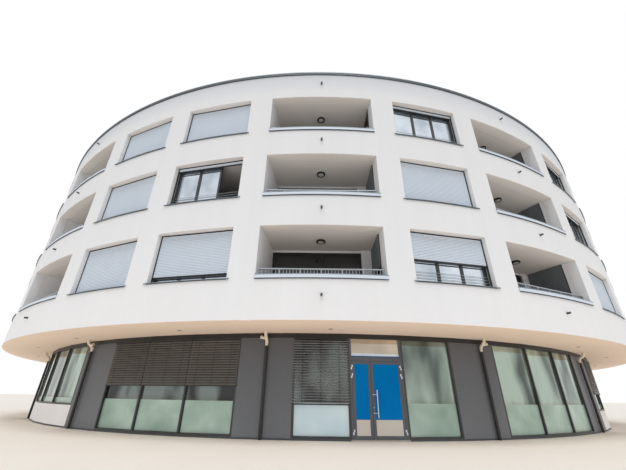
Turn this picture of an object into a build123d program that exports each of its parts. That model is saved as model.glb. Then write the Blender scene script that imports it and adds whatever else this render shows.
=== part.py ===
from build123d import *
from collections import namedtuple
from math import cos, degrees, hypot, radians, sin, tan
import os

# All sizes are in millimetres and all angles in degrees.
# An angle of 0 looks from the centre towards the entrance side, -Y, and grows towards +X.

# Plan of the round upper storeys: openings in order from the loggia over the entrance side
wall_radius = 19900
wall_thickness = 360
groups = 6
pattern = ["loggia", "window", "loggia", "window", "window"]
loggia_angle = 11.5
window_angle = 8
facet_length = 1400
round_sides = 8

# Levels
storeys = 3
ground_height = 3055
first_slab = 435
floor_slab = 350
clear_height = 2600
parapet_height = 795
roof_parapet = 970
gravel_depth = 250

# Sills, copings and railings
sill_thickness = 45
coping_thickness = 150
sill_overhang = 50
sill_lap = 10
coping_end = 30
coping_joint = 4
rail_height = 270
rail_size = 40
rail_setback = 190
rail_spaces = 2
spout_width = 60
spout_height = 100
spout_length = 50
spout_rise = 235
roof_spout_rise = 345

# Windows and roller shutters
shutter_setback = 200
shutter_thickness = 15
window_setback = 260
window_thickness = 70
shutter_drops = [
    [0.58, 1, 1, 0.75, 1, 0.92],
    [1, 0, 1, 1, 1, 0],
    [0, 0, 0.5, 1, 1, 1],
]

# Loggias
loggia_depth = 2020
loggia_return = 140
loggia_wall = 200
loggia_post = 470
loggia_glass_setback = 60
loggia_glass_thickness = 80
loggia_back_thickness = 250

# Ground floor: each bay is three panes and a dark panel, all of one angle
overhang = 2020
entrance_angle = 5.83
ground_bays = 15
units_per_bay = 4
panes_per_bay = 3
glazed_bays = [14, 0, 1]
glazed_unit_angle = 5.75
blind_bays = [2, 5, 8, 11, 14]
floor_finish = 40
panel_thickness = 300
mullion_width = 60
mullion_depth = 140
fascia_height = 155
base_rail_height = 60
plinth_height = 750
plinth_thickness = 250
glass_setback = 70
glass_thickness = 24
blind_clearance = 0.3
blind_thickness = 40
blind_edge = 15
blind_bottom = 1415
entrance_blind_bottom = 930
pipe_radius = 50
pipe_gap = 20
pipe_shifts = {0: 1.2, 13: -1.67}

# Entrance door
jamb_width = 60
frame_depth = 80
left_leaf_width = 595
leaf_thickness = 50
leaf_top = 2205
stile_width = 85
leaf_glass_thickness = 28
edge_gap = 6
meeting_gap = 10
floor_gap = 8
transom_top = 2340
hinge_offset = 12
hinge_radius = 9
hinge_length = 70
hinge_joint = 0.5
hinge_plate = 34
hinge_plate_thickness = 6
hinge_levels = [230, 1770, 2020]
handle_bottom = 600
handle_top = 1370
handle_radius = 15
handle_reach = 70
handle_inset = 150
handle_arm_radius = 8
handle_arm_inset = 130

Bay = namedtuple("Bay", "kind number centre half")
Unit = namedtuple("Unit", "bay number centre half")

# Values worked out from the sizes above
inner_radius = wall_radius - wall_thickness
ground_radius = wall_radius - overhang
opening_angles = {"loggia": loggia_angle, "window": window_angle}
pillar_angle = (360 / groups - sum(opening_angles[kind] for kind in pattern)) / len(pattern)
storey_height = clear_height + floor_slab
first_floor = ground_height + first_slab
roof_level = first_floor + storeys * storey_height
wall_top = roof_level + roof_parapet
loggia_back = wall_radius - loggia_depth
loggia_rear = loggia_back - loggia_back_thickness
fascia_bottom = ground_height - fascia_height
far_units_angle = 360 / units_per_bay - len(glazed_bays) * glazed_unit_angle
far_unit_angle = far_units_angle / (ground_bays - len(glazed_bays))


def at(radius, angle):
    """Point on a circle about the building's centre."""
    return (radius * sin(radians(angle)), -radius * cos(radians(angle)))


def local(angle, across, out):
    """Point measured across and outward from the centre, along a bay's own axis."""
    a = radians(angle)
    return (out * sin(a) + across * cos(a), -out * cos(a) + across * sin(a))


def arc_points(radius, start, end, pieces):
    """Points that step along a circle."""
    return [at(radius, start + (end - start) * i / pieces) for i in range(pieces + 1)]


def prism(points, low, high):
    """Upright solid on a closed outline."""
    outline = make_face(Polyline(*points, close=True))
    return Pos(0, 0, low) * extrude(outline, amount=high - low, dir=(0, 0, 1))


def local_prism(angle, corners, low, high):
    """Upright solid whose corners are measured along a bay's own axis."""
    return prism([local(angle, across, out) for across, out in corners], low, high)


def local_box(angle, left, right, back, front, low, high):
    """Box set square to a bay's own axis."""
    return local_prism(angle, [(left, back), (right, back), (right, front), (left, front)], low, high)


def along(start, end, distance):
    """Point at a distance from one point towards another."""
    share = distance / hypot(end[0] - start[0], end[1] - start[1])
    return tuple(a + (b - a) * share for a, b in zip(start, end))


def bays():
    """The openings of one storey, in order round the building, the first one in the middle of the front."""
    widths = [opening_angles[kind] for kind in pattern]
    angle = -widths[0] / 2
    found = []
    windows = 0
    for group in range(groups):
        for kind, width in zip(pattern, widths):
            found.append(Bay(kind, windows, angle + width / 2, width / 2))
            windows += kind == "window"
            angle += width + pillar_angle
    return found


def loggia_bays():
    return [bay for bay in bays() if bay.kind == "loggia"]


def window_bays():
    return [bay for bay in bays() if bay.kind == "window"]


def floor_level(storey):
    """Top of the floor slab of an upper storey, counted from 0."""
    return first_floor + storey * storey_height


def ceiling(storey):
    """Underside of the slab over an upper storey."""
    return floor_level(storey) + clear_height


def face(bay):
    """Distance from the building's centre to the straight line between two jambs."""
    return wall_radius * cos(radians(bay.half))


def facets(bay):
    """Number of short straight lengths that set out the curve over one opening."""
    return round(2 * radians(bay.half) * wall_radius / facet_length)


def bay_outline(bay, outer, inner):
    """Curved outside and straight inside between the two jambs of an opening."""
    start, end = bay.centre - bay.half, bay.centre + bay.half
    return arc_points(outer, start, end, facets(bay)) + [at(inner, end), at(inner, start)]


def flat_plate(bay, setback, thickness, low, high):
    """Flat plate between the two jambs of an opening, set back from their line."""
    slope = tan(radians(bay.half))
    front = face(bay) - setback
    back = front - thickness
    corners = [(-front * slope, front), (front * slope, front), (back * slope, back), (-back * slope, back)]
    return local_prism(bay.centre, corners, low, high)


def slab(low, high):
    """Floor slab that fills the space inside the wall."""
    points = []
    for bay in bays():
        points += [at(inner_radius, bay.centre - bay.half), at(inner_radius, bay.centre + bay.half)]
    return prism(points, low, high)


def pillars():
    """Upright wall strips between the openings, from the soffit to the roof edge."""
    solids = []
    for bay in bays():
        start = bay.centre + bay.half
        end = start + pillar_angle
        points = [at(wall_radius, start), at(wall_radius, end), at(inner_radius, end), at(inner_radius, start)]
        solids.append(prism(points, ground_height, wall_top))
    return solids


def spandrels(storey):
    """Wall under the openings of a storey, down to the openings of the storey below."""
    low = ground_height if storey == 0 else floor_level(storey) - floor_slab
    high = wall_top if storey == storeys else floor_level(storey) + parapet_height
    return [prism(bay_outline(bay, wall_radius, inner_radius), low, high) for bay in bays()]


def sills():
    """Sheet metal sills under the windows and deeper copings on the loggia parapets."""
    solids = []
    for storey in range(storeys):
        low = floor_level(storey) + parapet_height
        for bay in bays():
            loggia = bay.kind == "loggia"
            thickness = coping_thickness if loggia else sill_thickness
            back = inner_radius if loggia else wall_radius - window_setback - sill_lap
            outline = bay_outline(bay, wall_radius + sill_overhang, back)
            solids.append(prism(outline, low, low + thickness))
    return solids


def windows():
    """Window units, each one flat plate that stands on its sill."""
    return [flat_plate(bay, window_setback, window_thickness,
                       floor_level(storey) + parapet_height + sill_thickness, ceiling(storey))
            for storey in range(storeys) for bay in window_bays()]


def shutters():
    """Roller shutter curtains, let down as far as each window shows."""
    solids = []
    for storey, drops in enumerate(shutter_drops):
        bottom = floor_level(storey) + parapet_height + sill_thickness
        top = ceiling(storey)
        for bay in window_bays():
            drop = drops[bay.number % len(drops)]
            if drop > 0:
                low = top - drop * (top - bottom)
                solids.append(flat_plate(bay, shutter_setback, shutter_thickness, low, top))
    return solids


def left_wall(bay, low, high):
    """Wall on the left of a loggia, from the pillar to the rear face of the loggia's back wall."""
    jamb = bay.centre - bay.half
    front = at(inner_radius, jamb)
    front_far = along(front, at(inner_radius, jamb - pillar_angle), loggia_wall)
    across = loggia_rear * tan(radians(bay.half))
    rear = local(bay.centre, -across, loggia_rear)
    rear_far = local(bay.centre, -across - loggia_wall, loggia_rear)
    return prism([front, front_far, rear_far, rear], low, high)


def return_end(bay):
    """Inner end of the short wall beside a loggia's glazed side, across and outward."""
    radius = inner_radius - loggia_return
    return radius * sin(radians(bay.half)), radius * cos(radians(bay.half))


def side_line(bay):
    """Distance across from a loggia's middle to its glazed side."""
    return return_end(bay)[0] + loggia_glass_setback


def right_return(bay, low, high):
    """Short wall on the right of a loggia that carries on the pillar's face."""
    jamb = bay.centre + bay.half
    front = at(inner_radius, jamb)
    front_far = along(front, at(inner_radius, jamb + pillar_angle), loggia_wall)
    across, out = return_end(bay)
    ends = [local(bay.centre, across + loggia_wall, out), local(bay.centre, across, out)]
    return prism([front, front_far] + ends, low, high)


def back_post(bay, low, high):
    """Wall strip at the right end of a loggia's back."""
    side = side_line(bay)
    return local_box(bay.centre, side - loggia_post, side + loggia_wall, loggia_rear, loggia_back, low, high)


def loggia_walls():
    """Left side wall, right return and right back strip of each loggia."""
    return [make(bay, floor_level(storey), ceiling(storey))
            for storey in range(storeys) for bay in loggia_bays()
            for make in (left_wall, right_return, back_post)]


def back_glass(bay, low, high):
    """Glazing across the back of a loggia, between its left wall and its strip."""
    slope = tan(radians(bay.half))
    front = loggia_back - loggia_glass_setback
    back = front - loggia_glass_thickness
    right = side_line(bay) - loggia_post
    corners = [(-front * slope, front), (right, front), (right, back), (-back * slope, back)]
    return local_prism(bay.centre, corners, low, high)


def side_door(bay, low, high):
    """Glazed side of a loggia, between the short wall and the strip at the back."""
    side = side_line(bay)
    front = return_end(bay)[1]
    return local_box(bay.centre, side, side + loggia_glass_thickness, loggia_back, front, low, high)


def loggia_glazing():
    """Back windows and side doors of the loggias, each one flat plate."""
    return [make(bay, floor_level(storey), ceiling(storey))
            for storey in range(storeys) for bay in loggia_bays() for make in (back_glass, side_door)]


def railing(bay, low):
    """Top rail on posts, in one flat frame that stands on a loggia's coping."""
    out = face(bay) - rail_setback
    half = (out - rail_size) * tan(radians(bay.half))
    step = (2 * half - rail_size) / rail_spaces
    points = [(half, low), (half, low + rail_height), (-half, low + rail_height), (-half, low)]
    for i in range(rail_spaces):
        left = -half + rail_size + i * step
        right = left + step - rail_size
        under = low + rail_height - rail_size
        points += [(left, low), (left, under), (right, under), (right, low)]
    upright = Plane(origin=(*local(bay.centre, 0, out), 0), x_dir=(*local(bay.centre, 1, 0), 0),
                    z_dir=(*local(bay.centre, 0, 1), 0))
    outline = make_face(Polyline(*points, close=True))
    return extrude(upright * outline, amount=rail_size, dir=(*local(bay.centre, 0, -1), 0))


def railings():
    """Low railings on the copings of all loggias."""
    return [railing(bay, floor_level(storey) + parapet_height + coping_thickness)
            for storey in range(storeys) for bay in loggia_bays()]


def roof_coping():
    """Lengths of metal coping on the roof edge, with a narrow joint between them."""
    solids = []
    joint = degrees(coping_joint / wall_radius) / 2
    outer = wall_radius + sill_overhang
    inner = inner_radius - coping_end
    for bay in bays():
        start, end = bay.centre - bay.half, bay.centre + bay.half
        left, right = start - pillar_angle / 2 + joint, end + pillar_angle / 2 - joint
        points = arc_points(outer, left, right, facets(bay) + 1)
        points += [at(inner, angle) for angle in (right, end, start, left)]
        solids.append(prism(points, wall_top, wall_top + coping_thickness))
    return solids


def wall_face(bay):
    """Distance to the outside of the wall in the middle of an opening's width."""
    pieces = facets(bay)
    return wall_radius * cos(radians(bay.half / pieces)) if pieces % 2 else wall_radius


def spouts():
    """Overflow spouts in the wall under each loggia and at the roof."""
    levels = [floor_level(storey) + spout_rise for storey in range(storeys)]
    levels.append(roof_level + roof_spout_rise)
    half = spout_width / 2
    return [local_box(bay.centre, -half, half, wall_face(bay), wall_face(bay) + spout_length,
                      level, level + spout_height)
            for bay in loggia_bays() for level in levels]


def units():
    """Panes and panels of the ground floor in order round the building, from the left of the entrance bay."""
    angle = entrance_angle - glazed_unit_angle * panes_per_bay / 2
    found = []
    for bay in range(ground_bays):
        width = glazed_unit_angle if bay in glazed_bays else far_unit_angle
        for number in range(units_per_bay):
            found.append(Unit(bay, number, angle + width / 2, width / 2))
            angle += width
    return found


entrance = units()[panes_per_bay // 2]


def panels():
    return [unit for unit in units() if unit.number >= panes_per_bay]


def panes():
    return [unit for unit in units() if unit.number < panes_per_bay and unit != entrance]


def plane(unit):
    """Distance from the building's centre to the flat face of a ground floor unit."""
    return ground_radius * cos(radians(unit.half))


def pane_floor(unit):
    """Where the glazing starts: on the floor, or on the plinth wall."""
    return floor_finish if unit.bay in glazed_bays else plinth_height


def ground_slab():
    """Floor of the ground storey."""
    return prism([at(ground_radius, unit.centre - unit.half) for unit in units()], 0, floor_finish)


def unit_plate(unit, front, back, margins, low, high):
    """Flat plate in a unit between two distances behind its face, clear of both corners by its margins."""
    slope = tan(radians(unit.half))
    left, right = margins
    outer, inner = plane(unit) - front, plane(unit) - back
    corners = [(left - outer * slope, outer), (outer * slope - right, outer),
               (inner * slope - right, inner), (left - inner * slope, inner)]
    return local_prism(unit.centre, corners, low, high)


def ground_panels():
    """Dark clad wall panels between the glazed bays."""
    return [unit_plate(unit, 0, panel_thickness, (0, 0), floor_finish, ground_height) for unit in panels()]


def is_end(unit):
    """Whether a pane is the first or the last of its bay, beside a full bar."""
    return unit.number in (0, panes_per_bay - 1)


def bar_margins(unit):
    """Room that the upright bars take at the two sides of a pane."""
    full = mullion_width / cos(radians(unit.half))
    left = full if unit.number == 0 else full / 2
    right = full if unit.number == panes_per_bay - 1 else full / 2
    return left, right


def mullions():
    """Upright bars at both ends and between the panes of each glazed bay."""
    solids = []
    back = ground_radius - mullion_depth
    for unit in units():
        left = 0 if unit.number == 0 else -mullion_width
        if 0 < unit.number < panes_per_bay:
            left = -mullion_width / 2
        solids.append(local_box(unit.centre - unit.half, left, left + mullion_width, back, ground_radius,
                                pane_floor(unit), fascia_bottom))
    return solids


def ground_glazing():
    """Glass of the ground floor, except in the entrance."""
    return [unit_plate(unit, glass_setback, glass_setback + glass_thickness, bar_margins(unit),
                       pane_floor(unit) + base_rail_height, fascia_bottom) for unit in panes()]


def base_rails():
    """Bottom rails under the glass."""
    return [unit_plate(unit, 0, mullion_depth, bar_margins(unit), pane_floor(unit),
                       pane_floor(unit) + base_rail_height) for unit in panes()]


def bay_rings(thickness, low, high, skipped=()):
    """Walls over the panes of each bay that follow its corners."""
    solids = []
    for first in [unit for unit in units() if unit.number == 0 and unit.bay not in skipped]:
        start = first.centre - first.half
        end = start + 2 * first.half * panes_per_bay
        outer = arc_points(ground_radius, start, end, panes_per_bay)
        inner = arc_points(ground_radius - thickness, end, start, panes_per_bay)
        solids.append(prism(outer + inner, low, high))
    return solids


def blinds():
    """Slatted blinds in front of the glass and its bars, let down part of the way."""
    solids = []
    for unit in panes():
        at_entrance = unit.bay == entrance.bay and unit.number == 0
        if unit.bay in blind_bays or at_entrance:
            low = entrance_blind_bottom if at_entrance else blind_bottom
            bar = mullion_width if is_end(unit) else mullion_width / 2
            back = bar * sin(radians(unit.half)) + blind_clearance
            solids.append(unit_plate(unit, -back - blind_thickness, -back, (blind_edge, blind_edge),
                                     low, fascia_bottom))
    return solids


def downpipes():
    """Rainwater pipes in front of the panels, from the soffit to the ground."""
    solids = []
    for unit in panels():
        shift = plane(unit) * tan(radians(pipe_shifts.get(unit.bay, 0)))
        x, y = local(unit.centre, shift, plane(unit) + pipe_gap + pipe_radius)
        solids.append(Pos(x, y, 0) * extrude(RegularPolygon(pipe_radius, round_sides), amount=ground_height))
    return solids


# The entrance is set out across its own width and outward from the building's centre.
facade = plane(entrance)
door_inset = mullion_width / 2 / cos(radians(entrance.half))
door_half = facade * tan(radians(entrance.half)) - door_inset - jamb_width
right_leaf_width = 2 * door_half - 2 * edge_gap - meeting_gap - left_leaf_width
leaf_bottom = floor_finish + floor_gap
hinge_line = door_half - edge_gap / 2


def door_box(left, right, back, front, low, high):
    """Box in the entrance's own directions."""
    return local_box(entrance.centre, left, right, back, front, low, high)


def door_jambs():
    """Upright frame bars at both sides of the door and its top light."""
    slope = tan(radians(entrance.half))
    back = facade - frame_depth
    solids = []
    for side in (-1, 1):
        corners = [(side * door_half, facade), (side * (facade * slope - door_inset), facade),
                   (side * (back * slope - door_inset), back), (side * door_half, back)]
        solids.append(local_prism(entrance.centre, corners, floor_finish, fascia_bottom))
    return solids


def door_transom():
    """Bar over the door leaves."""
    return door_box(-door_half, door_half, facade - frame_depth, facade, leaf_top + edge_gap, transom_top)


def top_light():
    """Glass over the door."""
    front = facade - glass_setback + glass_thickness
    return door_box(-door_half, door_half, front - glass_thickness, front, transom_top, fascia_bottom)


def leaf_range(side):
    """Left and right edges of a door leaf."""
    if side < 0:
        return -door_half + edge_gap, -door_half + edge_gap + left_leaf_width
    return door_half - edge_gap - right_leaf_width, door_half - edge_gap


def leaf_frame(side):
    """Stiles and rails of a door leaf."""
    left, right = leaf_range(side)
    back = facade - leaf_thickness
    body = door_box(left, right, back, facade, leaf_bottom, leaf_top)
    hole = door_box(left + stile_width, right - stile_width, back, facade,
                    leaf_bottom + stile_width, leaf_top - stile_width)
    return body - hole


def leaf_glass(side):
    """Glass inside a door leaf."""
    left, right = leaf_range(side)
    front = facade - (leaf_thickness - leaf_glass_thickness) / 2
    return door_box(left + stile_width, right - stile_width, front - leaf_glass_thickness, front,
                    leaf_bottom + stile_width, leaf_top - stile_width)


def hinge_half(side, low, inward):
    """Half of a hinge: a barrel on the hinge line, with a plate on the leaf or on the frame."""
    across = side * hinge_line
    x, y = local(entrance.centre, across, facade + hinge_offset)
    barrel = Pos(x, y, low) * extrude(RegularPolygon(hinge_radius, round_sides), amount=hinge_length)
    far = across - side * hinge_plate if inward else across + side * hinge_plate
    left, right = min(across, far), max(across, far)
    plate = door_box(left, right, facade, facade + hinge_plate_thickness, low, low + hinge_length)
    return barrel + plate


def leaf_hinges(side):
    """Hinge halves on a leaf."""
    return [hinge_half(side, level + hinge_joint, True) for level in hinge_levels]


def frame_hinges():
    """Hinge halves on the door frame, under those of the leaves."""
    return [hinge_half(side, level - hinge_length, False) for side in (-1, 1) for level in hinge_levels]


def pull_handle():
    """Long round bar on two arms, at the meeting edge of the right leaf."""
    meeting = leaf_range(1)[0]
    bar_across = meeting + handle_inset
    x, y = local(entrance.centre, bar_across, facade + handle_reach)
    bar = RegularPolygon(handle_radius, round_sides)
    handle = Pos(x, y, handle_bottom) * extrude(bar, amount=handle_top - handle_bottom)
    foot_across = meeting + stile_width / 2
    for level in (handle_bottom + handle_arm_inset, handle_top - handle_arm_inset):
        foot = Vector(*local(entrance.centre, foot_across, facade), level)
        arm_end = Vector(x, y, level)
        path = Line(foot, arm_end)
        end = Plane(origin=foot, z_dir=arm_end - foot)
        handle = handle + extrude(end * RegularPolygon(handle_arm_radius, round_sides), amount=path.length)
    behind = door_box(*leaf_range(1), facade - leaf_thickness, facade, leaf_bottom, leaf_top)
    return handle - behind


def save(name, solids):
    """Write one sub-part."""
    shape = Compound(children=list(solids)) if isinstance(solids, list) else solids
    export_step(shape, f"parts/{name}.step")


def build():
    os.makedirs("parts", exist_ok=True)
    save("ground_slab", ground_slab())
    save("first_floor_slab", slab(ground_height, first_floor))
    for storey in range(1, storeys):
        save(f"floor_slab_{storey + 1}", slab(floor_level(storey) - floor_slab, floor_level(storey)))
    save("roof_slab", slab(roof_level - floor_slab, roof_level))
    save("roof_gravel", slab(roof_level, roof_level + gravel_depth))
    save("pillars", pillars())
    for storey in range(storeys):
        save(f"spandrels_{storey + 1}", spandrels(storey))
    save("roof_parapet", spandrels(storeys))
    save("roof_coping", roof_coping())
    save("sills_and_copings", sills())
    save("windows", windows())
    save("roller_shutters", shutters())
    save("loggia_walls", loggia_walls())
    save("loggia_glazing", loggia_glazing())
    save("loggia_railings", railings())
    save("overflow_spouts", spouts())
    save("ground_panels", ground_panels())
    save("ground_mullions", mullions())
    save("ground_glazing", ground_glazing())
    save("base_rails", base_rails())
    save("fascias", bay_rings(mullion_depth, fascia_bottom, ground_height))
    save("plinth_walls", bay_rings(plinth_thickness, floor_finish, plinth_height, glazed_bays))
    save("front_blinds", blinds())
    save("downpipes", downpipes())
    save("door_jambs", door_jambs())
    save("door_transom", door_transom())
    save("door_top_light", top_light())
    save("frame_hinges", frame_hinges())
    for side, name in ((-1, "left"), (1, "right")):
        save(f"{name}_leaf_frame", leaf_frame(side))
        save(f"{name}_leaf_glass", leaf_glass(side))
        save(f"{name}_leaf_hinges", leaf_hinges(side))
    save("pull_handle", pull_handle())


build()
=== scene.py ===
from itertools import product
from math import cos, degrees, pi, radians, sin, tan

import bmesh
import bpy
from mathutils import Matrix, Vector


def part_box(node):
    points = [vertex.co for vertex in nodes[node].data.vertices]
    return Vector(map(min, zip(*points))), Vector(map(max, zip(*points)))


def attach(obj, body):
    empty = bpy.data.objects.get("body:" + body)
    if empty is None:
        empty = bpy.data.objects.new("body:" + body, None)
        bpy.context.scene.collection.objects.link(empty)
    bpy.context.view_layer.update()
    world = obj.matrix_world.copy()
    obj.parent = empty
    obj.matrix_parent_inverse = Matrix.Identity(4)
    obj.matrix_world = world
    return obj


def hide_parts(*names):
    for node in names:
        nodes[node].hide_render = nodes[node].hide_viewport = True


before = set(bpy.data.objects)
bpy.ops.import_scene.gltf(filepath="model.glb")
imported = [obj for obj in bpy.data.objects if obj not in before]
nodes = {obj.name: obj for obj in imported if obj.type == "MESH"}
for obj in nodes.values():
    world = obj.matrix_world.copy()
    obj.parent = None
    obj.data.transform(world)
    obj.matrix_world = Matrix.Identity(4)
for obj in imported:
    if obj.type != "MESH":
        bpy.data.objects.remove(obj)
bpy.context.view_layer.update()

# Lengths are in metres and angles in degrees: 0 looks at the entrance side, -Y, and grows towards +X.
plan = dict(
    wallRadius=19.9, wallThickness=0.36, overhang=2.02, storeys=3, clearHeight=2.6, parapet=0.795,
    groups=6, pattern=["loggia", "window", "loggia", "window", "window"],
    angles=dict(loggia=11.5, window=8.0), cells=dict(loggia=12, window=8, pillar=3),
    groundBays=15, unitsPerBay=4, panesPerBay=3, entranceAngle=5.83,
    glazedBays=[14, 0, 1], glazedUnit=5.75, blindBays=[2, 5, 8, 11, 14],
)
wallRadius = plan["wallRadius"]
innerRadius = wallRadius - plan["wallThickness"]
groundRadius = wallRadius - plan["overhang"]
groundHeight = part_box("first_floor_slab")[0].z
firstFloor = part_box("first_floor_slab")[1].z
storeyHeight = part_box("floor_slab_2")[1].z - firstFloor
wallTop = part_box("roof_parapet")[1].z
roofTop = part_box("roof_coping")[1].z
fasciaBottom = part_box("fascias")[0].z
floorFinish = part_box("ground_slab")[1].z
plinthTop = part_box("plinth_walls")[1].z
storeys = range(plan["storeys"])
floors = [firstFloor + storey * storeyHeight for storey in storeys]
parapets = [level + plan["parapet"] for level in floors]
ceilings = [level + plan["clearHeight"] for level in floors]
skinGap = 0.0005  # keeps thin sheets clear of what carries them


def around(radius, angle, z):  # a point on a circle about the building's centre
    a = radians(angle)
    return Vector((radius * sin(a), -radius * cos(a), z))


def turns(count):  # angles all the way round
    return [2 * pi * k / count for k in range(count)]


def span(middle, size):  # both ends of a length
    return middle - size / 2, middle + size / 2


# A spot is a point of the plan with its directions across and outwards.
def baySpot(angle):
    a = radians(angle)
    return Vector((0, 0)), Vector((cos(a), sin(a))), Vector((sin(a), -cos(a)))


def lineSpot(start, end):
    along = (end - start).normalized()
    return start, along, Vector((-along.y, along.x))


def movedSpot(spot, across, out):
    start, u, v = spot
    return start + across * u + out * v, u, v


def spotPoint(spot, across, out, z):
    return Vector((*movedSpot(spot, across, out)[0], z))


class Bay:  # an opening above, or a pane or panel of the ground floor
    def __init__(self, kind, number, centre, half, radius):
        self.kind, self.number, self.half = kind, number, half
        self.start, self.end = centre - half, centre + half
        self.bend = radians(half)
        self.slope = tan(self.bend)
        self.face = radius * cos(self.bend)  # the straight line between its two outer edges
        self.spot = baySpot(centre)


def listOpenings():  # their kinds are loggia and window
    widths = [plan["angles"][kind] for kind in plan["pattern"]]
    pillar = (360 / plan["groups"] - sum(widths)) / len(widths)
    found, angle = [], -widths[0] / 2
    for kind, width in list(zip(plan["pattern"], widths)) * plan["groups"]:
        number = sum(opening.kind == kind for opening in found)
        found.append(Bay(kind, number, angle + width / 2, width / 2, wallRadius))
        angle += width + pillar
    return found, pillar


def listUnits():  # their kind is the number of their ground floor bay
    glazed, perBay = plan["glazedBays"], plan["unitsPerBay"]
    far = (360 / perBay - len(glazed) * plan["glazedUnit"]) / (plan["groundBays"] - len(glazed))
    found, angle = [], plan["entranceAngle"] - plan["glazedUnit"] * plan["panesPerBay"] / 2
    for bay in range(plan["groundBays"]):
        width = plan["glazedUnit"] if bay in glazed else far
        for number in range(perBay):
            found.append(Bay(bay, number, angle + width / 2, width / 2, groundRadius))
            angle += width
    return found


openings, pillarAngle = listOpenings()
loggias, windows = ([opening for opening in openings if opening.kind == kind] for kind in ("loggia", "window"))
units = listUnits()
entrance = units[plan["panesPerBay"] // 2]
panels = [unit for unit in units if unit.number >= plan["panesPerBay"]]


def newObject(name, data):
    thing = bpy.data.objects.new(name, data)
    bpy.context.scene.collection.objects.link(thing)
    return thing


def roundEdges(piece, width):
    bevel = piece.modifiers.new("edges", "BEVEL")
    bevel.width = width
    bevel.angle_limit = radians(40)
    bevel.harden_normals = True


class Shape:  # collects closed forms, then becomes one mesh piece
    def __init__(self):
        self.points, self.faces, self.marks = [], [], []

    def loft(self, rings, mark=0, closed=False):  # a skin over a row of outlines, with caps at both ends
        first, count, whole = len(self.points), len(rings[0]), len(rings) * len(rings[0])
        self.points += [p for ring in rings for p in ring]
        faces = []
        for r in range(len(rings) - (not closed)):
            a, b = r * count, (r + 1) % len(rings) * count
            faces += [[a + i, a + (i + 1) % count, b + (i + 1) % count, b + i] for i in range(count)]
        if not closed:
            faces += [range(count), range(whole - count, whole)]
        self.faces += [[first + i for i in face] for face in faces]
        self.marks += [mark] * len(faces)

    def box(self, spot, across, out, height, mark=0):
        corners = [(across[0], out[0]), (across[1], out[0]), (across[1], out[1]), (across[0], out[1])]
        self.loft([[spotPoint(spot, u, v, z) for u, v in corners] for z in height], mark)

    def frame(self, spot, across, out, height, bar):
        left, right = across
        low, high = height
        inner = (left + bar, right - bar)
        for sides, rise in (((left, left + bar), height), ((right - bar, right), height),
                            (inner, (low, low + bar)), (inner, (high - bar, high))):
            self.box(spot, sides, out, rise)
        return inner, (low + bar, high - bar)  # the opening that it leaves

    def band(self, radii, heights, start, end, steps, mark=0, fall=0, closed=False):
        (near, far), (low, high) = radii, heights
        profile = [(near, low), (far, low), (far, high - fall), (near, high)]
        angles = [start + (end - start) * i / steps for i in range(steps + (not closed))]
        self.loft([[around(r, angle, z) for r, z in profile] for angle in angles], mark, closed)

    def turned(self, spot, rings, sides, mark=0):  # a round form from its radii and heights
        self.loft([[spotPoint(spot, r * cos(t), r * sin(t), z) for t in turns(sides)] for r, z in rings], mark)

    def tube(self, path, radius, sides=16, mark=0):
        rings = []
        for i, p in enumerate(path):
            ahead = (path[i + 1] - p).normalized() if i < len(path) - 1 else Vector()
            behind = (p - path[i - 1]).normalized() if i else Vector()
            along = (ahead + behind).normalized()
            side = (side - side.dot(along) * along).normalized() if rings else along.orthogonal().normalized()
            up = along.cross(side)
            rings.append([p + radius * (cos(t) * side + sin(t) * up) for t in turns(sides)])
        self.loft(rings, mark)

    def piece(self, name, paints, slot, body="building", replaced="", bevel=0, smooth=30):
        mesh = bpy.data.meshes.new(name)
        mesh.from_pydata(self.points, [], self.faces)
        shell = bmesh.new()
        shell.from_mesh(mesh)
        bmesh.ops.recalc_face_normals(shell, faces=shell.faces)
        shell.to_mesh(mesh)
        shell.free()
        for paint in paints.split():
            mesh.materials.append(finishes[paint])
        mesh.polygons.foreach_set("material_index", self.marks)
        mesh.shade_smooth()
        mesh.set_sharp_from_angle(angle=radians(smooth))
        piece = newObject(name, mesh)
        if bevel:
            roundEdges(piece, bevel)
        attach(piece, body)
        if replaced:
            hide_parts(*replaced.split())


# Materials

def srgb(colour):  # a screen colour in Blender's own values
    values = [c / 255 for c in colour]
    return tuple(c / 12.92 if c <= 0.04045 else ((c + 0.055) / 1.055) ** 2.4 for c in values) + (1.0,)


def feed(tree, socket, value):  # a fixed value, or a link from another node
    if isinstance(value, bpy.types.NodeSocket):
        tree.links.new(value, socket)
    else:
        socket.default_value = value


def addNode(tree, kind, inputs, **settings):
    node = tree.nodes.new("ShaderNode" + kind)
    for name, value in settings.items():
        setattr(node, name, value)
    for label, value in inputs.items():
        feed(tree, node.inputs[label], value)
    return node


def mathNode(tree, operation, *values):
    return addNode(tree, "Math", dict(enumerate(values)), operation=operation).outputs[0]


def noiseNode(tree, place, scale, detail, roughness):
    inputs = {"Vector": place, "Scale": scale, "Detail": detail, "Roughness": roughness}
    return addNode(tree, "TexNoise", inputs).outputs[0]


def mixColours(tree, mask, first, second):  # sockets 6 and 7 take the colours, and output 2 gives one
    return addNode(tree, "Mix", {0: mask, 6: first, 7: second}, data_type="RGBA").outputs[2]


def mapRange(tree, value, low, high):
    return addNode(tree, "MapRange", {"Value": value, "To Min": low, "To Max": high}).outputs[0]


def contrastOf(tree, value, contrast):  # steeper about its middle
    return mathNode(tree, "MULTIPLY_ADD", mathNode(tree, "SUBTRACT", value, 0.5), contrast, 0.5)


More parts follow.
